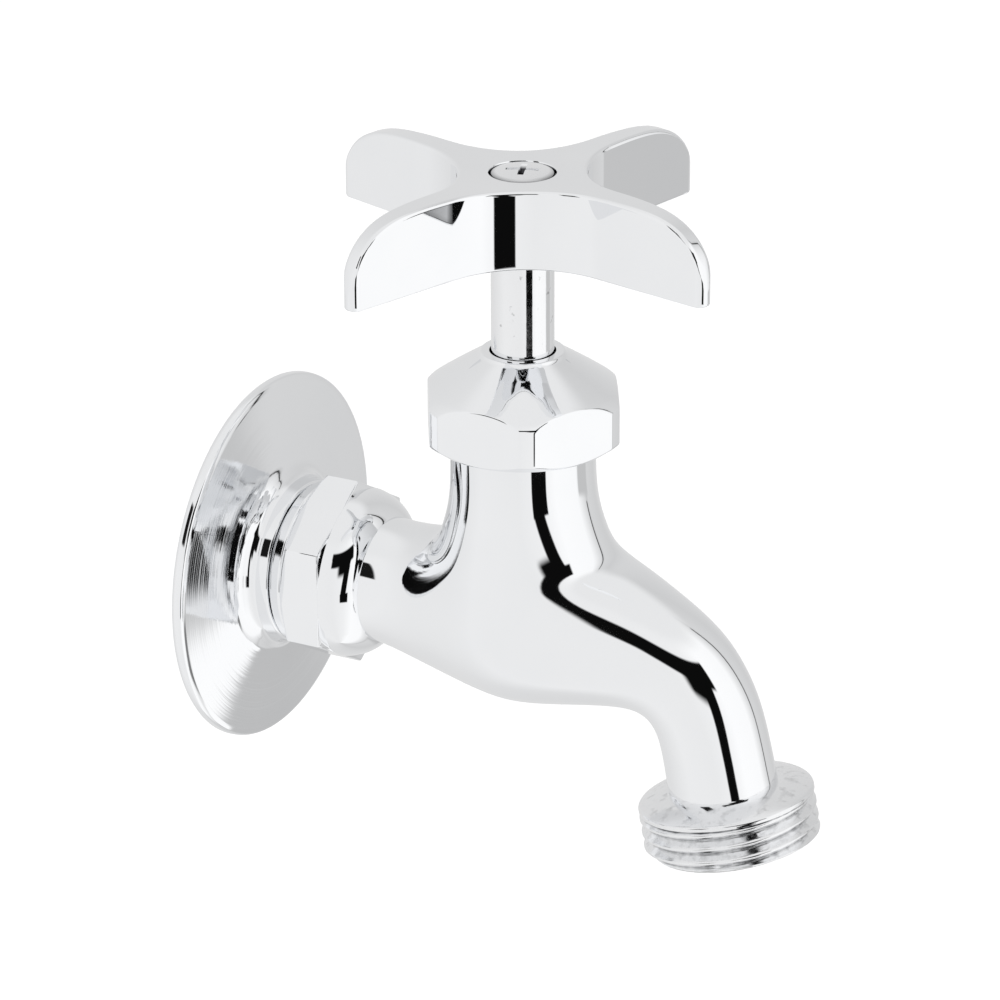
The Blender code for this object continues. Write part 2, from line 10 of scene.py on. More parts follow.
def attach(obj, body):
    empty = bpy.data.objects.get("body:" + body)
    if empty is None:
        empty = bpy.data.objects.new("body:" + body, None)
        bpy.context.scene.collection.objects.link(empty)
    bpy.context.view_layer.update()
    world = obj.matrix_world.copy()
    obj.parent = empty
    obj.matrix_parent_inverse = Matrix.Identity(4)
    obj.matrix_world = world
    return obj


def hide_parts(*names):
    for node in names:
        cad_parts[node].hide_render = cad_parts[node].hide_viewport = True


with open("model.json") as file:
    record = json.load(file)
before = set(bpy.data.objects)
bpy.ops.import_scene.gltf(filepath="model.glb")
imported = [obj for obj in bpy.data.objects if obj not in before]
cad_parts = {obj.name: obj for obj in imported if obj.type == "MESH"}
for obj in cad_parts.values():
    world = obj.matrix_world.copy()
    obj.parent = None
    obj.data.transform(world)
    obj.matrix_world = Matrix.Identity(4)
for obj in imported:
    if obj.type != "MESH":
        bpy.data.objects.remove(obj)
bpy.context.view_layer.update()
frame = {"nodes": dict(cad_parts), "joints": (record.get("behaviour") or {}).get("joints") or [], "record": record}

mm = 0.001
mergeWithin = 1e-7      # metres
creaseAngle = 38        # degrees; edges sharper than this stay sharp
turnJoint = next(joint for joint in frame["joints"] if joint["name"] == "handle_turn")
valveY = turnJoint["pos_m"][1] / mm      # the upright valve axis, mm from the wall


# making materials

class Nodes:
    # a short way to build a node tree

    def __init__(self, tree):
        self.tree = tree

    def add(self, kind, inputs=None, **settings):
        node = self.tree.nodes.new(kind)
        for key, value in settings.items():
            setattr(node, key, value)
        for key, value in (inputs or {}).items():
            if isinstance(value, bpy.types.NodeSocket):
                self.tree.links.new(value, node.inputs[key])
            else:
                node.inputs[key].default_value = value
        return node

    def math(self, operation, *values):
        return self.add("ShaderNodeMath", dict(enumerate(values)), operation=operation).outputs[0]

    def mix(self, share, first, second):
        # from the first colour at 0 to the second at 1; a colour is a socket or three numbers
        node = self.add("ShaderNodeMix", {0: share}, data_type="RGBA")
        for key, colour in (("A", first), ("B", second)):
            if isinstance(colour, bpy.types.NodeSocket):
                self.tree.links.new(colour, node.inputs[key])
            else:
                node.inputs[key].default_value = (*colour, 1)
        return node.outputs["Result"]

    def between(self, value, low, high, **settings):
        # 0 at low, 1 at high
        inputs = {"Value": value, "From Min": low, "From Max": high}
        return self.add("ShaderNodeMapRange", inputs, **settings).outputs["Result"]


class Finish(Nodes):
    # the node tree of one material, with the patterns that the finishes share

    def __init__(self, name, metallic=1.0):
        self.material = bpy.data.materials.new(name)
        self.material.use_nodes = True
        super().__init__(self.material.node_tree)
        self.shader = self.tree.nodes["Principled BSDF"]
        self.shader.inputs["Metallic"].default_value = metallic

    def along(self, axis):
        # how far along X, Y or Z a point of the piece lies, in metres
        spot = self.add("ShaderNodeTexCoord").outputs["Object"]
        return self.add("ShaderNodeSeparateXYZ", {0: spot}).outputs[axis]

    def noise(self, scale, detail=2.0):
        spot = self.add("ShaderNodeTexCoord").outputs["Object"]
        inputs = {"Vector": spot, "Scale": scale, "Detail": detail}
        return self.add("ShaderNodeTexNoise", inputs).outputs["Fac"]

    def lines(self, along, scale, detail):
        # noise that changes in one direction only
        inputs = {"W": along, "Scale": scale, "Detail": detail}
        return self.add("ShaderNodeTexNoise", inputs, noise_dimensions="1D").outputs["Fac"]

    def spread(self, value, low, high):
        # a noise value spread over low to high
        inputs = {"Value": value, "From Min": 0.3, "From Max": 0.7, "To Min": low, "To Max": high}
        return self.add("ShaderNodeMapRange", inputs).outputs["Result"]

    def bump(self, height, depth, under=None):
        inputs = {"Height": height, "Distance": depth * mm, "Strength": 1.0}
        if under:
            inputs["Normal"] = under
        return self.add("ShaderNodeBump", inputs).outputs["Normal"]

    def drive(self, colour, roughness, normal):
        for socket, source in (("Base Color", colour), ("Roughness", roughness), ("Normal", normal)):
            self.tree.links.new(source, self.shader.inputs[socket])


chromeLook = {"tone": (0.90, 0.905, 0.915), "darker": (0.86, 0.87, 0.885), "roughness": (0.012, 0.045),
              "wave": 0.0012}


def chrome(name):
    # bright plate: the roughness drifts a little, and the plate is never perfectly even
    n = Finish(name)
    n.drive(n.mix(n.noise(90, 3), chromeLook["darker"], chromeLook["tone"]),
            n.spread(n.noise(260, 4), *chromeLook["roughness"]),
            n.bump(n.noise(210), chromeLook["wave"]))
    return n.material


spunLook = {"fine": 2600.0, "broad": 620.0, "roughness": (0.02, 0.07), "depth": 0.008}


def spunChrome(name):
    # turned on a lathe: fine rings about the Y axis, which drag every reflection sideways
    n = Finish(name)
    across, upward = n.along("X"), n.along("Z")
    square = n.math("ADD", n.math("MULTIPLY", across, across), n.math("MULTIPLY", upward, upward))
    radius = n.math("SQRT", square)
    fine = n.lines(radius, spunLook["fine"], 3.0)
    rings = n.math("ADD", fine, n.math("MULTIPLY", n.lines(radius, spunLook["broad"], 2.0), 1.2))
    n.drive(n.mix(n.noise(90, 3), chromeLook["darker"], chromeLook["tone"]),
            n.spread(fine, *spunLook["roughness"]),
            n.bump(rings, spunLook["depth"]))
    return n.material


stemLook = {"tone": (0.88, 0.885, 0.895), "pit": (0.55, 0.555, 0.56), "roughness": (0.03, 0.11)}


def stemChrome(name):
    # plate over a turned rod: faint rings up its length, small pits and a slightly uneven shine
    n = Finish(name)
    marks = n.bump(n.lines(n.along("Z"), 2600.0, 3.0), 0.0012)
    pits = n.between(n.noise(620, 3), 0.66, 0.72)
    n.drive(n.mix(pits, stemLook["tone"], stemLook["pit"]),
            n.spread(n.noise(420, 4), *stemLook["roughness"]),
            n.bump(n.noise(420, 3), 0.010, marks))
    return n.material


# the dark grey is the colour of the painted shade in the thread's hollows
threadLook = {"tone": (0.86, 0.865, 0.875), "groove": (0.30, 0.305, 0.315), "roughness": (0.05, 0.20)}


def threadChrome(name):
    # plate over a cut thread: uneven, with painted shade darkening it down in the grooves
    n = Finish(name)
    # painted shade: where the surface is hollow (low pointiness), with a little noise, the colour goes to dark
    # grey
    hollow = n.add("ShaderNodeNewGeometry").outputs["Pointiness"]
    shadeInHollows = n.math("ADD", hollow, n.math("MULTIPLY", n.math("SUBTRACT", n.noise(700, 4), 0.5), 0.10))
    n.drive(n.mix(n.between(shadeInHollows, 0.44, 0.50), threadLook["groove"], threadLook["tone"]),
            n.spread(n.noise(1100, 4), *threadLook["roughness"]),
            n.bump(n.noise(900, 3), 0.012, n.bump(n.noise(260), 0.02)))
    return n.material


# slot is the colour of the painted shade in the cross slot; dark and bright give the depths where it is full and
# where it ends
screwLook = {"tone": (0.88, 0.885, 0.895), "slot": (0.05, 0.05, 0.055), "roughness": (0.04, 0.14),
             "dark": 0.75, "bright": 0.30}      # mm below the top of the head


def screwChrome(name):
    # painted shade: the cross slot is coloured dark towards its floor
    n = Finish(name)
    # painted shade: fully dark from 0.75 mm below the top of the head, fading to the plate's tone by 0.30 mm
    low, high = ((screw["top"] - screwLook[depth]) * mm for depth in ("dark", "bright"))
    n.drive(n.mix(n.between(n.along("Z"), low, high), screwLook["slot"], screwLook["tone"]),
            n.spread(n.noise(1200, 4), *screwLook["roughness"]),
            n.bump(n.noise(900, 3), 0.004))
    return n.material


def plainFinish(name, dark, light, roughness, metallic, grain, depth):
    n = Finish(name, metallic)
    n.drive(n.mix(n.noise(grain, 4), dark, light),
            n.spread(n.noise(grain * 1.7, 4), *roughness),
            n.bump(n.noise(grain * 2.5, 3), depth))
    return n.material


# making meshes

def newPiece(name, points, faces, material, sharp=creaseAngle):
    # points in mm; the faces are turned outwards before the piece is kept
    mesh = bpy.data.meshes.new(name)
    mesh.from_pydata([tuple(float(c) * mm for c in point) for point in points], [], faces)
    bm = bmesh.new()
    bm.from_mesh(mesh)
    bmesh.ops.remove_doubles(bm, verts=bm.verts, dist=mergeWithin)
    bmesh.ops.recalc_face_normals(bm, faces=bm.faces)
    bm.to_mesh(mesh)
    bm.free()
    mesh.shade_smooth()
    mesh.set_sharp_from_angle(angle=radians(sharp))
    piece = bpy.data.objects.new(name, mesh)
    bpy.context.scene.collection.objects.link(piece)
    if material:
        mesh.materials.append(material)
        evenShading(piece)
    return piece


def evenShading(piece):
    piece.modifiers.new("flat faces stay flat", "WEIGHTED_NORMAL").keep_sharp = True


def ringFaces(rings, closed):
    # quads between rings of point numbers; a ring of one number is a pole
    faces = []
    pairs = list(zip(rings, rings[1:])) + ([(rings[-1], rings[0])] if closed else [])
    for lower, upper in pairs:
        count = max(len(lower), len(upper))
        for i in range(count):
            j = (i + 1) % count
            corners = [ring[k % len(ring)] for ring, k in ((lower, i), (lower, j), (upper, j), (upper, i))]
            corners = list(dict.fromkeys(corners))      # a pole gives the same point twice
            if len(corners) > 2:
                faces.append(corners)
    return faces


def softened(profile, steps=4):
    # rounds each (across, along, radius) corner of a profile; a radius of 0 leaves it sharp
    result = []
    count = len(profile)
    for i, (x, z, radius) in enumerate(profile):
        here = Vector((x, z))
        before = Vector(profile[i - 1][:2])
        after = Vector(profile[(i + 1) % count][:2])
        if radius == 0:
            result.append((x, z))
            continue
        back, ahead = before - here, after - here
        reach = min(radius, 0.48 * back.length, 0.48 * ahead.length)
        start = here + back.normalized() * reach
        end = here + ahead.normalized() * reach
        for k in range(steps + 1):
            t = k / steps
            spot = start * (1 - t) ** 2 + here * (2 * t * (1 - t)) + end * t ** 2
            result.append((spot.x, spot.y))
    return result


def turnedPiece(name, profile, material, segments, place, steps=4):
    # a ring or a bar turned from a profile about the local Z axis, then put in place by a matrix
    outline = softened(profile, steps)
    points, rings = [], []
    for radius, height in outline:
        if radius < mergeWithin:
            rings.append([len(points)])
            points.append(place @ Vector((0, 0, height)))
            continue
        rings.append(list(range(len(points), len(points) + segments)))
        for i in range(segments):
            a = 2 * pi * i / segments
            points.append(place @ Vector((radius * cos(a), radius * sin(a), height)))
    closed = len(rings[0]) > 1
    return newPiece(name, points, ringFaces(rings, closed), material)


def shapedPiece(name, profileAt, angles, material, place, steps=4):
    # like a turned piece, but each angle round the axis has its own profile
    rings = []
    points = []
    profiles = [softened(profileAt(a), steps) for a in angles]
    for k in range(len(profiles[0])):
        rings.append(list(range(len(points), len(points) + len(angles))))
        for a, outline in zip(angles, profiles):
            radius, height = outline[k]
            points.append(place @ Vector((radius * cos(a), radius * sin(a), height)))
    return newPiece(name, points, ringFaces(rings, True), material)


def cutter(name, points, faces):
    piece = newPiece(name, points, faces, None)
    piece.hide_render = True
    piece.display_type = "WIRE"
    return piece


def applyModifiers(piece):
    graph = bpy.context.evaluated_depsgraph_get()
    made = bpy.data.meshes.new_from_object(piece.evaluated_get(graph))
    piece.modifiers.clear()
    piece.data = made
    evenShading(piece)


def cutAway(piece, cutters):
    # takes the cutters out of the piece, then throws them away
    piece.modifiers.remove(piece.modifiers["flat faces stay flat"])
    for tool in cutters:
        step = piece.modifiers.new("cut", "BOOLEAN")
        step.operation = "DIFFERENCE"
        step.object = tool
        step.solver = "EXACT"
    bpy.context.view_layer.update()
    applyModifiers(piece)
    for tool in cutters:
        bpy.data.objects.remove(tool)
    piece.data.set_sharp_from_angle(angle=radians(creaseAngle))


alongWall = Matrix.Rotation(pi / 2, 4, "X")                      # local Z points to -Y, out of the wall
upright = Matrix.Translation((0, valveY, 0))


def keep(piece, body, slotName, *nodes):
    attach(piece, body)
    if nodes:
        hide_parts(*nodes)
    return piece


# the body: casting, inlet end and hose nipple

casting = {
    "beforeNeck": [(16.5, 0, 9.9), (20.5, 0, 9.8), (24.5, -0.3, 9.7), (30, -0.9, 10.6)],
    "underNeck": [(37.5, -0.3, 13.3), (45.4, 1.2, 15.7), (53.4, 0.0, 14.2)],
    "afterNeck": [(60.8, -1.3, 11.6), (67.4, -2.7, 9.7), (73.2, -5.4, 8.8), (76.7, -10.4, 8.3),
                  (78.2, -15.6, 8.2), (79.1, -20.0, 8.3), (79.75, -23.1, 8.4), (79.95, -24.1, 8.4)],
    "neck": [((13.8, 12.6, 14.8), (9.4, 8.6, 10.2)), ((12.0, 11.5, 12.6), (14.4, 14.0, 14.8)),
             ((11.0, 11.0, 11.3), (19.0, 19.0, 19.4)), ((11.0, 11.0, 11.0), (24.5, 24.5, 24.5)),
             ((11.0, 11.0, 11.0), (32.3, 32.3, 32.3)), ((11.0, 11.0, 11.0), (32.6, 32.6, 32.6))],
    "around": 16,
    "smoothing": 3,
}


def stationsOf(stations):
    # centre, outward direction and radius of each ring along a (from wall, height, radius) path
    centres = [Vector((0, -y, z)) for y, z, _ in stations]
    found = []
    for i, (centre, station) in enumerate(zip(centres, stations)):
        along = (centres[min(i + 1, len(centres) - 1)] - centres[max(i - 1, 0)]).normalized()
        found.append((centre, Vector((0, along.z, -along.y)), station[2]))
    return found


def neckLoop(radii, heights, swell, around):
    loop = []
    for i in range(around):
        a = 2 * pi * i / around
        end = 0 if cos(a) > 0 else 2
        radius, height = (ring[1] + (ring[end] - ring[1]) * cos(a) ** 2 for ring in (radii, heights))
        loop.append(Vector((swell * radius * sin(a), valveY + swell * radius * cos(a), height)))
    return loop


def castingCage():
    # a bent tube whose three middle rings open at the top into the upright neck
    around = casting["around"]
    swell = 3 / (2 + cos(2 * pi / around))
    back = len(casting["beforeNeck"])
    points = list(neckLoop(*casting["neck"][0], swell, around))
    neck = list(range(around))
    rings = []
    for n, (centre, outward, radius) in enumerate(
            stationsOf(casting["beforeNeck"] + casting["underNeck"] + casting["afterNeck"])):
        ring = []
        for i in range(around):
            a = 2 * pi * i / around
            upper = cos(a) > 0.01
            if n == back and upper:
                ring.append(neck[i])
            elif n == back + 2 and upper:
                ring.append(neck[(around // 2 - i) % around])
            elif n == back + 1 and upper:
                ring.append(None)
            else:
                ring.append(len(points))
                points.append(centre + radius * swell * (sin(a) * Vector((1, 0, 0)) + cos(a) * outward))
        rings.append(ring)
    rings[back + 1][around // 4 - 1] = neck[around // 4]
    rings[back + 1][1 - around // 4] = neck[-(around // 4)]
    faces = [rings[0], rings[-1]]
    for ring, following in zip(rings, rings[1:]):
        for i in range(around):
            j = (i + 1) % around
            corners = [ring[i], ring[j], following[j], following[i]]
            if None not in corners:
                faces.append(corners)
    for radii, heights in casting["neck"][1:]:
        loop = list(range(len(points), len(points) + around))
        points += neckLoop(radii, heights, swell, around)
        faces += [[neck[i], neck[(i + 1) % around], loop[(i + 1) % around], loop[i]] for i in range(around)]
        neck = loop
    faces.append(neck)
    return points, faces


def sweptCutter(name, path, segments=40):
    points, rings = [], []
    for centre, outward, radius in stationsOf(path):
        rings.append(list(range(len(points), len(points) + segments)))
        for k in range(segments):
            a = 2 * pi * k / segments
            points.append(centre + radius * (sin(a) * Vector((1, 0, 0)) + cos(a) * outward))
    return cutter(name, points, ringFaces(rings, False) + [rings[0], rings[-1]])


waterways = {
    "spout": [(50.0, 9.6, 4.2), (55.0, 7.0, 4.9), (60.5, 2.6, 5.4), (66.4, -1.8, 5.8), (72.8, -5.4, 6.1),
              (76.7, -10.2, 6.3), (78.2, -15.6, 6.5), (79.3, -20.8, 6.7), (79.9, -24.0, 6.7)],
    "inlet": [(15.0, 0, 6.2), (24, -1.0, 6.0), (34, -4.2, 5.4), (40, -5.4, 5.2), (45.4, -5.6, 5.2),
              (50.2, -5.6, 4.4)],
    "chamber": [(0, -5), (5.5, -5), (5.5, 1.3), (8.9, 1.3), (8.9, 40), (0, 40)],
}


def turnedCutter(name, profile, place, segments=64):
    piece = turnedPiece(name, [(r, z, 0) for r, z in profile], None, segments, place)
    piece.hide_render = True
    return piece


def makeCasting(material):
    piece = newPiece("body_casting", *castingCage(), material)
    smooth = piece.modifiers.new("smooth", "SUBSURF")
    smooth.levels = smooth.render_levels = casting["smoothing"]
    cutters = [sweptCutter("inlet way", waterways["inlet"]),
               turnedCutter("chamber", waterways["chamber"], upright),
               sweptCutter("spout way", waterways["spout"])]
    cutAway(piece, cutters)
    return keep(piece, "root", "chrome_body", "body")


inletEnd = {"back": 7.9, "ring": 13.0, "hexBack": 9.9, "hexFront": 16.7, "flat": 13.2, "corner": 15.2,
            "chamfer": 0.55, "shoulder": (13.3, 21.9), "roundness": 0.7, "neck": 9.5, "inside": 6.1,
            "bore": 10.3, "boreEnd": 18.5, "pitch": 25.4 / 14, "threadDepth": 0.8, "rowsPerTurn": 6}


def hexRadius(angle, flat, corner):
    # distance from the axis to a hexagon's side, with its corners turned off to a radius
    sixth = pi / 3
    return min(flat / cos((angle + sixth / 2) % sixth - sixth / 2), corner)


def hexAngles(flat, corner, perSide=14, perCorner=5):
    # angles that put points exactly where the flats end
    half = pi / 6
    edge = acos(min(1, flat / corner))
    angles = []
    for k in range(6):
        middle = k * pi / 3
        angles += list(np.linspace(middle - edge, middle + edge, perSide, endpoint=False))
        angles += list(np.linspace(middle + edge, middle + 2 * half - edge, perCorner, endpoint=False))
    return angles


def makeInletEnd(material):
    e = inletEnd
    domeStart = e["hexFront"] + 0.05
    reach, rise = e["shoulder"][0] - e["neck"], e["shoulder"][1] - domeStart
    threadStart = e["back"] + 0.8
    step = e["pitch"] / e["rowsPerTurn"]
    threadRows = [threadStart + k * step for k in range(int((e["boreEnd"] - e["back"] - 1.2) / step))]

    def domeSpot(a):
        # the shoulder lies between a quarter ellipse and a straight cone
        cone, bulge = 2 * a / pi, e["roundness"]
        across = bulge * cos(a) + (1 - bulge) * (1 - cone)
        along = bulge * sin(a) + (1 - bulge) * cone
        return (e["neck"] + reach * across, domeStart + rise * along, 0)

    def threadSpot(angle, z):
        # the pipe thread inside: a helix, deepest where its ridge passes this angle
        ridge = 1 - abs(((z / e["pitch"] - angle / (2 * pi)) % 1) * 2 - 1)
        return (e["bore"] - e["threadDepth"] * ridge, z, 0)

    def profileAt(angle):
        side = hexRadius(angle, e["flat"], e["corner"])
        chamfer = e["hexBack"] + max(0.0, side - e["ring"]) * e["chamfer"]
        profile = [(e["bore"] + 0.8, e["back"], 0.1), (e["ring"] - 0.1, e["back"], 0.5),
                   (e["ring"], e["hexBack"] - 0.35, 0.2), (e["ring"] - 0.3, e["hexBack"], 0.1),
                   (side, chamfer, 0.3), (side, e["hexFront"], 0.35)]
        profile += [domeSpot(a) for a in np.linspace(0, pi / 2, 16)]
        profile += [(e["inside"], e["shoulder"][1], 0), (e["inside"], e["boreEnd"], 0),
                    (e["bore"], e["boreEnd"], 0)]
        profile += [threadSpot(angle, z) for z in reversed(threadRows)]
        return profile

    piece = shapedPiece("inlet_end", profileAt, hexAngles(e["flat"], e["corner"]), material, alongWall)
    return keep(piece, "root", "chrome_body", "body")


nipple = {"at": (-80.1, -24.2), "tilt": 10.5, "major": 13.49, "minor": 12.35, "pitch": 25.4 / 11.5,
          "threadEnd": 7.4, "end": 7.6, "shoulder": 1.7, "rim": 0.35, "rimRadius": 13.27, "curve": 1.6,
          "tube": 8.5, "bore": 8.0, "way": 6.3, "crease": 50}


def makeHoseNipple(material):
    # a helical thread: the height of the ridge depends on how far round and how far down it is
    p = nipple
    place = (Matrix.Translation((0, *p["at"])) @ Matrix.Rotation(radians(-p["tilt"]), 4, "X")
             @ Matrix.Rotation(pi, 4, "X"))      # local Z runs down and out of the mouth
    segments, rows = ((180, 72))
    depth = p["major"] - p["minor"]
    points, rings = [], []

    def ridge(turn, along):
        saw = abs(((along / p["pitch"] - turn) % 1) - 0.5) * 2      # 1 on the crest, 0 in the root
        shape = min(1, max(0, (saw - 0.08) / 0.80))
        fade = min(1, max(0, (p["threadEnd"] - along) / 0.5))
        collar = p["major"] - 0.04 - 1.3 * max(0, along - 0.3)      # the thread runs out into the shoulder
        return max(p["minor"] + depth * shape * fade, collar)

    def addRing(radiusAt, height):
        rings.append(list(range(len(points), len(points) + segments)))
        for i in range(segments):
            a = 2 * pi * i / segments
            radius = radiusAt(i / segments)
            points.append(place @ Vector((radius * cos(a), radius * sin(a), height)))

    shoulder = [(p["way"], -p["shoulder"])]
    for t in np.linspace(0, 1, 16):
        fall = (p["shoulder"] - p["rim"]) * t ** p["curve"]
        shoulder.append((p["tube"] + (p["rimRadius"] - p["tube"]) * t, fall - p["shoulder"]))
    shoulder += [(p["major"] - 0.1, -0.22), (p["major"] - 0.03, -0.05)]
    mouth = [(p["minor"] - 0.05, p["end"] - 0.45), (p["minor"] - 0.35, p["end"] - 0.1),
             (p["minor"] - 0.6, p["end"]), (p["bore"] + 0.4, p["end"]), (p["bore"] + 0.1, p["end"] - 0.1),
             (p["bore"], p["end"] - 0.4), (p["bore"], 0.0), (p["way"], 0.0)]
    for radius, height in shoulder:
        addRing(lambda turn: radius, height)
    for height in np.linspace(0.1, p["end"] - 0.55, rows):
        addRing(lambda turn: ridge(turn, height), height)
    for radius, height in mouth:
        addRing(lambda turn: radius, height)
    piece = newPiece("hose_nipple", points, ringFaces(rings, True), material, p["crease"])
    return keep(piece, "root", "chrome_body", "body")


# wall flange

flange = {"rim": 29.0, "thick": 1.8, "face": (14.8, 3.3), "hub": 13.0, "hubEnd": 7.6, "hole": 11.2,
          "around": 256}


def makeFlange(material):
    f = flange
    faceRadius, faceHeight = f["face"]      # where the dished face meets the foot of the hub
    profile = [(f["hole"], 0, 0.1), (f["rim"] - 0.5, 0, 0.2), (f["rim"], 0.6, 0.5),
               (f["rim"] - 0.1, f["thick"], 0.4), (f["rim"] - 0.9, f["thick"] + 0.25, 0.4),
               (faceRadius + 5, 2.75, 3.0), (faceRadius, faceHeight, 1.2),
               (f["hub"] + 0.35, 4.6, 0.9), (f["hub"], 5.3, 0.3), (f["hub"] - 0.25, f["hubEnd"] - 0.2, 0.4),
               (f["hub"] - 0.9, f["hubEnd"], 0.3), (f["hole"], f["hubEnd"], 0.1)]
    piece = turnedPiece("flange_shell", profile, material, f["around"], alongWall, 6)
    return keep(piece, "root", "chrome_flange", "wall_flange")


# cap nut

nut = {"flat": 14.2, "corner": 15.7, "bottom": 27.8, "bottomEdge": 13.8, "chamfer": 1.4,
       "top": 42.1, "lip": 6.3,
       "cone": [(6.6, 41.65), (7.4, 41.15), (9.0, 40.15), (11.5, 38.5), (13.4, 37.2), (14.5, 36.4),
                (15.1, 35.8), (15.7, 35.0)],
       "thread": 11.3, "cavity": 7.8, "ceiling": 40.3, "seat": 36.5, "hole": 5.0}


def makeCapNut(material):
    u = nut
    coneRadii, coneHeights = zip(*u["cone"])

    def coneHeight(radius):
        return float(np.interp(radius, coneRadii, coneHeights))

    def profileAt(angle):
        side = hexRadius(angle, u["flat"], u["corner"])
        low = u["bottom"] + u["chamfer"] * (side - u["bottomEdge"]) / (u["corner"] - u["bottomEdge"])
        slope = [side + (coneRadii[0] - side) * t for t in np.linspace(0.06, 1, 26)]
        profile = [(u["thread"], u["bottom"], 0.15), (u["bottomEdge"], u["bottom"], 0.15), (side, low, 0.3),
                   (side, coneHeight(side), 0.3)]
        profile += [(radius, coneHeight(radius), 0) for radius in slope]
        profile += [(u["lip"], u["top"], 0.2), (u["hole"], u["top"], 0.12), (u["hole"], u["ceiling"], 0),
                    (u["cavity"], u["ceiling"], 0), (u["cavity"], u["seat"], 0), (u["thread"], u["seat"], 0)]
        return profile

    angles = hexAngles(u["flat"], u["corner"], 20, 8)
    piece = shapedPiece("cap_nut_shell", profileAt, angles, material, upright)
    return keep(piece, "root", "chrome_nut", "cap_nut")


# handle, its screw and the stem

handle = {"bottom": 58.1, "restAngle": -15.6, "taper": 0.05, "waist": 9.7, "length": 36.6, "tip": 1.3,
          "edge": 0.65, "underEdge": 0.4, "crease": 48,
          "top": [(0, 70.1), (6, 70.15), (12, 70.4), (18, 70.65), (23, 70.65), (27, 70.35), (30, 69.65),
                  (32.4, 68.5), (34.2, 67.0), (35.4, 65.3), (36.15, 63.5), (36.5, 61.8), (36.62, 60.6)],
          "recess": 5.0, "recessFloor": 68.2, "screwHole": 2.3, "socket": 4.9, "socketTop": 65.0}


def smoothCurve(stations, count):
    # a rounded curve through a few points, as many points (Catmull-Rom)
    known = [Vector(p) for p in stations]
    known = [2 * known[0] - known[1]] + known + [2 * known[-1] - known[-2]]
    result = []
    for k in range(1, len(known) - 2):
        a, b, c, d = known[k - 1:k + 3]
        for i in range(count):
            t = i / count
            bend, twist = 2 * a - 5 * b + 4 * c - d, 3 * b - a - 3 * c + d
            result.append(0.5 * (2 * b + (c - a) * t + bend * t ** 2 + twist * t ** 3))
    result.append(known[-2])
    return result


def armOutline():
    # one arm along +X: tapering sides, a rounded tip, and half of the fillet to each neighbour
    h = handle
    slope = hypot(1, h["taper"])
    rootHalf = h["tip"] + h["taper"] * h["length"]
    lean = (1 + h["taper"]) / sqrt(2)
    radius = (h["waist"] * lean - rootHalf) / (slope - lean)
    centre = (h["waist"] + radius) / sqrt(2)
    sweep = pi / 4 - atan2(h["taper"], 1)
    fillet = [(centre - radius * cos(pi / 4 + a), centre - radius * sin(pi / 4 + a))
              for a in np.linspace(sweep, 0, 22)]
    tipStart = h["length"] - h["tip"]
    straight = [(x, rootHalf - h["taper"] * x) for x in np.linspace(tipStart, fillet[0][0], 18)]
    width = straight[0][1]
    nose = [(tipStart + h["tip"] * sin(a), -width * cos(a)) for a in np.linspace(0, pi, 15)[1:-1]]
    side = straight + fillet[1:]
    return [(x, -y) for x, y in reversed(side[:-1])] + nose + side


def makeHandle(material):
    h = handle
    outline = []
    for arm in range(4):
        c, s = cos(arm * pi / 2), sin(arm * pi / 2)
        outline += [(x * c - y * s, x * s + y * c) for x, y in armOutline()]
    outline = np.array(outline)
    radius = np.hypot(outline[:, 0], outline[:, 1])
    unit = outline / radius[:, None]
    curve = smoothCurve(h["top"], 12)
    knownRadii, knownHeights = [p.x for p in curve], [p.y for p in curve]
    sides = np.roll(outline, -1, axis=0) - outline
    loops = []

    def toEdge(spots):
        # shortest distance in plan from each spot to the outline
        away = spots[:, None, :] - outline[None]
        t = np.clip((away * sides[None]).sum(2) / (sides ** 2).sum(1)[None], 0, 1)
        return np.sqrt(((away - t[:, :, None] * sides[None]) ** 2).sum(2)).min(1)

    def topHeight(spots):
        level = np.interp(np.hypot(spots[:, 0], spots[:, 1]), knownRadii, knownHeights)
        inside = np.clip(1 - toEdge(spots) / h["edge"], 0, 1)
        return level - h["edge"] * (1 - np.sqrt(1 - inside ** 2))

    def addLoop(radii, heights):
        # one loop of points round the handle, at a radius and a height for each direction
        spots = unit * np.broadcast_to(radii, radius.shape)[:, None]
        loops.append(np.column_stack([spots, np.broadcast_to(heights, radius.shape)]))

    for t in np.linspace(1, 0, 44):      # from the recess in the middle out to the edge
        radii = radius - (radius - h["recess"] - 0.12) * t ** 2.2
        addLoop(radii, topHeight(unit * radii[:, None]))
    edgeHeight = loops[-1][:, 2]
    sideBottom = h["bottom"] + h["underEdge"]
    for t in (0.25, 0.5, 0.75, 0.93):
        addLoop(radius, edgeHeight + (sideBottom - edgeHeight) * t)
    for a in np.linspace(0, pi / 2, 5):      # small round along the lower edge
        addLoop(radius - h["underEdge"] * (1 - cos(a)), sideBottom - h["underEdge"] * sin(a))
    flatRadius = radius - h["underEdge"]
    for t in (0.1, 0.3, 0.6, 1.0):
        addLoop(flatRadius - (flatRadius - h["socket"]) * t, h["bottom"])
    for ring, height in ((h["socket"], h["socketTop"]), (h["screwHole"], h["socketTop"]),
                         (h["screwHole"], h["recessFloor"]), (h["recess"], h["recessFloor"]),
                         (h["recess"], h["top"][0][1] - 0.15)):
        addLoop(ring, height)
    place = upright @ Matrix.Rotation(radians(h["restAngle"]), 4, "Z")
    points = [place @ Vector(spot) for loop in loops for spot in loop]
    count = len(outline)
    rings = [list(range(k * count, (k + 1) * count)) for k in range(len(loops))]
    piece = newPiece("handle_casting", points, ringFaces(rings, True), material, h["crease"])
    return keep(piece, "stem", "chrome_handle", "handle")


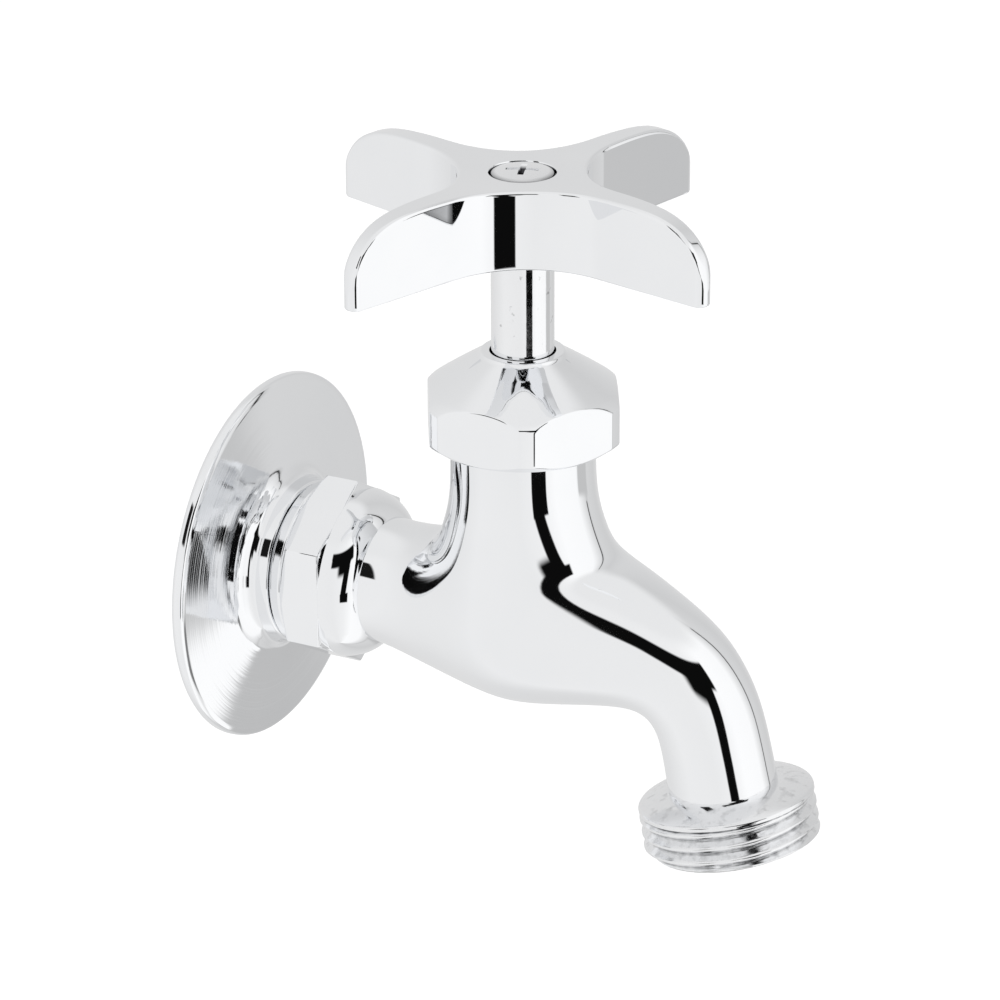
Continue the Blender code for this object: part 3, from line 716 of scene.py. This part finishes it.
stem = {"radius": 4.75, "top": 57.7, "chamfer": 0.6, "drive": 3.3, "driveTop": 64.5, "screwHole": 2.2,
        "screwHoleEnd": 57.0, "journal": 4.7, "journalTop": 38.0, "grooves": (33.0, 35.0), "grooveHalf": 0.65,
        "grooveFloor": 3.3, "collar": (6.3, 28.9, 30.6), "head": (4.5, 27.0), "thread": 3.3,
        "threadEnd": 16.4}


def makeStem(material):
    t = stem
    collar, collarBottom, collarTop = t["collar"]
    head, headBottom = t["head"]
    profile = [(0, t["threadEnd"], 0), (t["thread"] - 0.5, t["threadEnd"], 0),
               (t["thread"], t["threadEnd"] + 0.5, 0), (t["thread"], headBottom, 0), (head, headBottom, 0),
               (head, collarBottom, 0), (collar, collarBottom, 0), (collar, collarTop, 0),
               (t["journal"], collarTop, 0)]
    for height in t["grooves"]:      # for the two O-rings
        low, high = height - t["grooveHalf"], height + t["grooveHalf"]
        profile += [(t["journal"], low, 0), (t["grooveFloor"], low, 0), (t["grooveFloor"], high, 0),
                    (t["journal"], high, 0)]
    profile += [(t["journal"], t["journalTop"], 0), (t["radius"], t["journalTop"] + 0.4, 0),
                (t["radius"], t["top"] - t["chamfer"], 0.25), (t["radius"] - t["chamfer"], t["top"], 0.1),
                (t["drive"], t["top"], 0), (t["drive"], t["driveTop"], 0.3),
                (t["screwHole"], t["driveTop"], 0), (t["screwHole"], t["screwHoleEnd"], 0),
                (0, t["screwHoleEnd"], 0)]
    piece = turnedPiece("stem_rod", profile, material, 128, upright)
    return keep(piece, "stem", "chrome_stem", "stem")


screw = {"radius": 4.7, "under": 68.5, "side": 69.9, "top": 70.6, "shank": 1.9, "end": 57.5,
         "slot": (4.6, 0.85, 1.3), "slotTurn": 0.35}      # slot: length, width, depth; turn in radians


def slotCutter(turn):
    # a slot narrower at its floor
    length, width, depth = screw["slot"]
    place = upright @ Matrix.Rotation(turn, 4, "Z")
    points = []
    for height, share in ((screw["top"] + 0.5, 1.25), (screw["top"] - depth, 0.72)):
        for x, y in ((-1, -1), (1, -1), (1, 1), (-1, 1)):
            points.append(place @ Vector((x * length / 2 * share, y * width / 2 * share, height)))
    sides = [[i, (i + 1) % 4, (i + 1) % 4 + 4, i + 4] for i in range(4)]
    return cutter("slot", points, [[3, 2, 1, 0], [4, 5, 6, 7]] + sides)


def makeScrew(material):
    s = screw
    dome = [(s["radius"] * cos(a) ** 0.9, s["side"] + (s["top"] - s["side"]) * sin(a), 0)
            for a in np.linspace(0.12, pi / 2 - 0.06, 12)]
    profile = [(0, s["end"], 0), (s["shank"], s["end"], 0.4), (s["shank"], s["under"], 0),
               (s["radius"], s["under"], 0.2), (s["radius"], s["side"], 0.2)] + dome + [(0, s["top"], 0)]
    place = upright @ Matrix.Rotation(radians(handle["restAngle"]), 4, "Z")
    piece = turnedPiece("screw_head", profile, material, 96, place)
    cutAway(piece, [slotCutter(s["slotTurn"] + quarter * pi / 2) for quarter in range(2)])
    return keep(piece, "stem", "chrome_screw", "handle_screw")


# materials on the pieces kept from the CAD model

innerLooks = {      # name, dark tone, light tone, roughness, metallic, grain, depth
    "brass": ("machined brass", (0.62, 0.44, 0.18), (0.80, 0.62, 0.32), (0.18, 0.34), 1.0, 800, 0.004),
    "steel": ("spring steel", (0.50, 0.51, 0.53), (0.68, 0.69, 0.70), (0.2, 0.34), 1.0, 800, 0.004),
    "fibre": ("red fibre", (0.26, 0.09, 0.05), (0.40, 0.17, 0.10), (0.75, 0.95), 0.0, 1500, 0.02),
    "graphite": ("packing", (0.035, 0.035, 0.04), (0.09, 0.09, 0.10), (0.45, 0.7), 0.0, 1200, 0.02),
    "black_rubber": ("seal rubber", (0.012, 0.012, 0.012), (0.035, 0.035, 0.036), (0.6, 0.8), 0.0, 900, 0.01),
}


def dressCadNodes():
    finishes = {slot: plainFinish(*look) for slot, look in innerLooks.items()}
    slots = {part["node"]: part["material_slot"] for part in frame["record"]["subparts"]}
    for node, piece in frame["nodes"].items():
        finish = finishes.get(slots[node])
        if finish:
            piece.data.materials.clear()
            piece.data.materials.append(finish)


# studio: floor, surroundings and camera

studio = {"floorGlow": 0.30, "floorDrop": 0.85, "floorSize": 14.0,      # metres
          "azimuth": -61.858, "elevation": 22.695, "roll": -0.213, "target": (0.0, -41.444, 16.887),
          "distance": 760.82, "lens": 180.38}      # degrees and mm


def makeFloor():
    n = Finish("floor", 0.0)
    n.shader.inputs["Emission Color"].default_value = (1, 1, 1, 1)
    n.shader.inputs["Emission Strength"].default_value = studio["floorGlow"]
    n.shader.inputs["Roughness"].default_value = 0.9
    tone = n.mix(n.noise(3), (0.93, 0.93, 0.93), (0.96, 0.96, 0.96))
    n.tree.links.new(tone, n.shader.inputs["Base Color"])
    half, z = studio["floorSize"] / 2 / mm, -studio["floorDrop"] / mm
    corners = [(x * half, y * half, z) for x, y in ((-1, -1), (1, -1), (1, 1), (-1, 1))]
    floor = newPiece("floor", corners, [[0, 1, 2, 3]], n.material)
    floor.visible_glossy = False


tent = {
    # bearing from the camera in degrees, brightness
    "walls": [(-180, 0.76), (-130, 0.82), (-70, 0.94), (-8, 0.92), (24, 0.98), (50, 1.10), (90, 1.08),
              (106, 0.80), (112, 0.62), (114, 0.74), (140, 0.68), (165, 0.74), (180, 0.76)],
    "roof": 0.90,
    "roofEdge": (46, 62),
    # bearing, its lean per degree of height, half width, lowest, highest, softness, brightness
    "sheets": [
        (128, 0, 17, -48, -27, 3.0, 0.56),
        (111, 0, 6, -44, -25, 1.2, 1.10),
        (105, 0, 11, -24, -16.5, 1.5, 0.60),
        (98, 0, 6, -33, -24, 1.5, 0.22),
        (-50, 0, 10, 19, 42, 1.2, 0.01),
        (110, 0, 1.0, -14, 50, 0.5, 0.03),
        (17, 0, 30, 22, 41, 1.6, 0.004),
        (18, 0, 13, 10, 30, 4.0, 0.004),
        (25.0, 0.30, 8.0, -14, 28, 1.2, 0.004),
        (23.8, 0, 11.6, -23, -12.5, 0.8, 0.004),
    ],
}


def makeSurroundings():
    # a white tent as a sky: brighter on one side, with the dark frame of its opening beside the camera
    world = bpy.data.worlds.new("tent")
    bpy.context.scene.world = world
    world.use_nodes = True
    world.node_tree.nodes.clear()
    n = Nodes(world.node_tree)

    def fade(value, start, end):
        return n.between(value, start, end, interpolation_type="SMOOTHSTEP")

    def band(value, lowest, highest, soft):
        rising = fade(value, lowest - soft, lowest + soft)
        return n.math("MULTIPLY", rising, fade(value, highest + soft, highest - soft))

    direction = n.add("ShaderNodeTexCoord").outputs["Generated"]
    x, y, z = n.add("ShaderNodeSeparateXYZ", {0: direction}).outputs
    toCamera = radians(studio["azimuth"]) - pi / 2
    turn = n.math("WRAP", n.math("ADD", n.math("ARCTAN2", y, x), -toCamera), -pi, pi)
    bearing = n.math("MULTIPLY", turn, 180 / pi)
    height = n.math("MULTIPLY", n.math("ARCSINE", z), 180 / pi)
    ramp = n.add("ShaderNodeValToRGB", {0: n.math("DIVIDE", n.math("ADD", bearing, 180.0), 360.0)})
    elements = ramp.color_ramp.elements
    elements.remove(elements[-1])
    for k, (angle, level) in enumerate(tent["walls"]):
        spot = (angle + 180) / 360
        element = elements[0] if k == 0 else elements.new(spot)
        element.position = spot
        element.color = (level, level, level, 1)
    colour = n.mix(fade(height, *tent["roofEdge"]), ramp.outputs["Color"], [tent["roof"]] * 3)
    for middle, lean, half, lowest, highest, soft, level in tent["sheets"]:
        centre = n.math("ADD", n.math("MULTIPLY", height, lean), middle)
        offset = n.math("ABSOLUTE", n.math("SUBTRACT", bearing, centre))
        across = fade(offset, half + soft, half - soft)
        inside = n.math("MULTIPLY", across, band(height, lowest, highest, soft))
        colour = n.mix(inside, colour, [level] * 3)
    walls = n.add("ShaderNodeBackground", {"Color": colour, "Strength": 1.0})
    plain = n.add("ShaderNodeBackground", {"Color": (1, 1, 1, 1), "Strength": 1.0})
    seen = n.add("ShaderNodeLightPath").outputs["Is Camera Ray"]
    both = n.add("ShaderNodeMixShader", {0: seen, 1: walls.outputs[0], 2: plain.outputs[0]})
    n.add("ShaderNodeOutputWorld", {"Surface": both.outputs[0]})


def makeCamera():
    s = studio
    a, e = radians(s["azimuth"]), radians(s["elevation"])
    back = Vector((sin(a) * cos(e), -cos(a) * cos(e), sin(e)))
    right = Vector((cos(a), sin(a), 0))
    turn = Matrix((right, back.cross(right), back)).transposed()
    camera = bpy.data.objects.new("camera", bpy.data.cameras.new("camera"))
    bpy.context.scene.collection.objects.link(camera)
    place = (turn @ Matrix.Rotation(radians(s["roll"]), 3, "Z")).to_4x4()
    place.translation = (Vector(s["target"]) + back * s["distance"]) * mm
    camera.matrix_world = place
    camera.data.lens = s["lens"]
    camera.data.sensor_width = 36
    camera.data.clip_start = 0.01
    camera.data.clip_end = 100
    bpy.context.scene.camera = camera
    bpy.context.scene.view_settings.view_transform = "Standard"


makeCamera()
makeFloor()
makeSurroundings()
print("studio ready")
plate = chrome("bright chrome")
makeCasting(plate)
makeInletEnd(plate)
makeHoseNipple(threadChrome("plated thread"))
print("body made")
makeFlange(spunChrome("spun chrome"))
makeCapNut(plate)
print("flange and nut made")
makeHandle(chrome("handle chrome"))
makeScrew(screwChrome("screw chrome"))
makeStem(stemChrome("plated stem"))
print("handle made")
dressCadNodes()
print("inner pieces dressed")
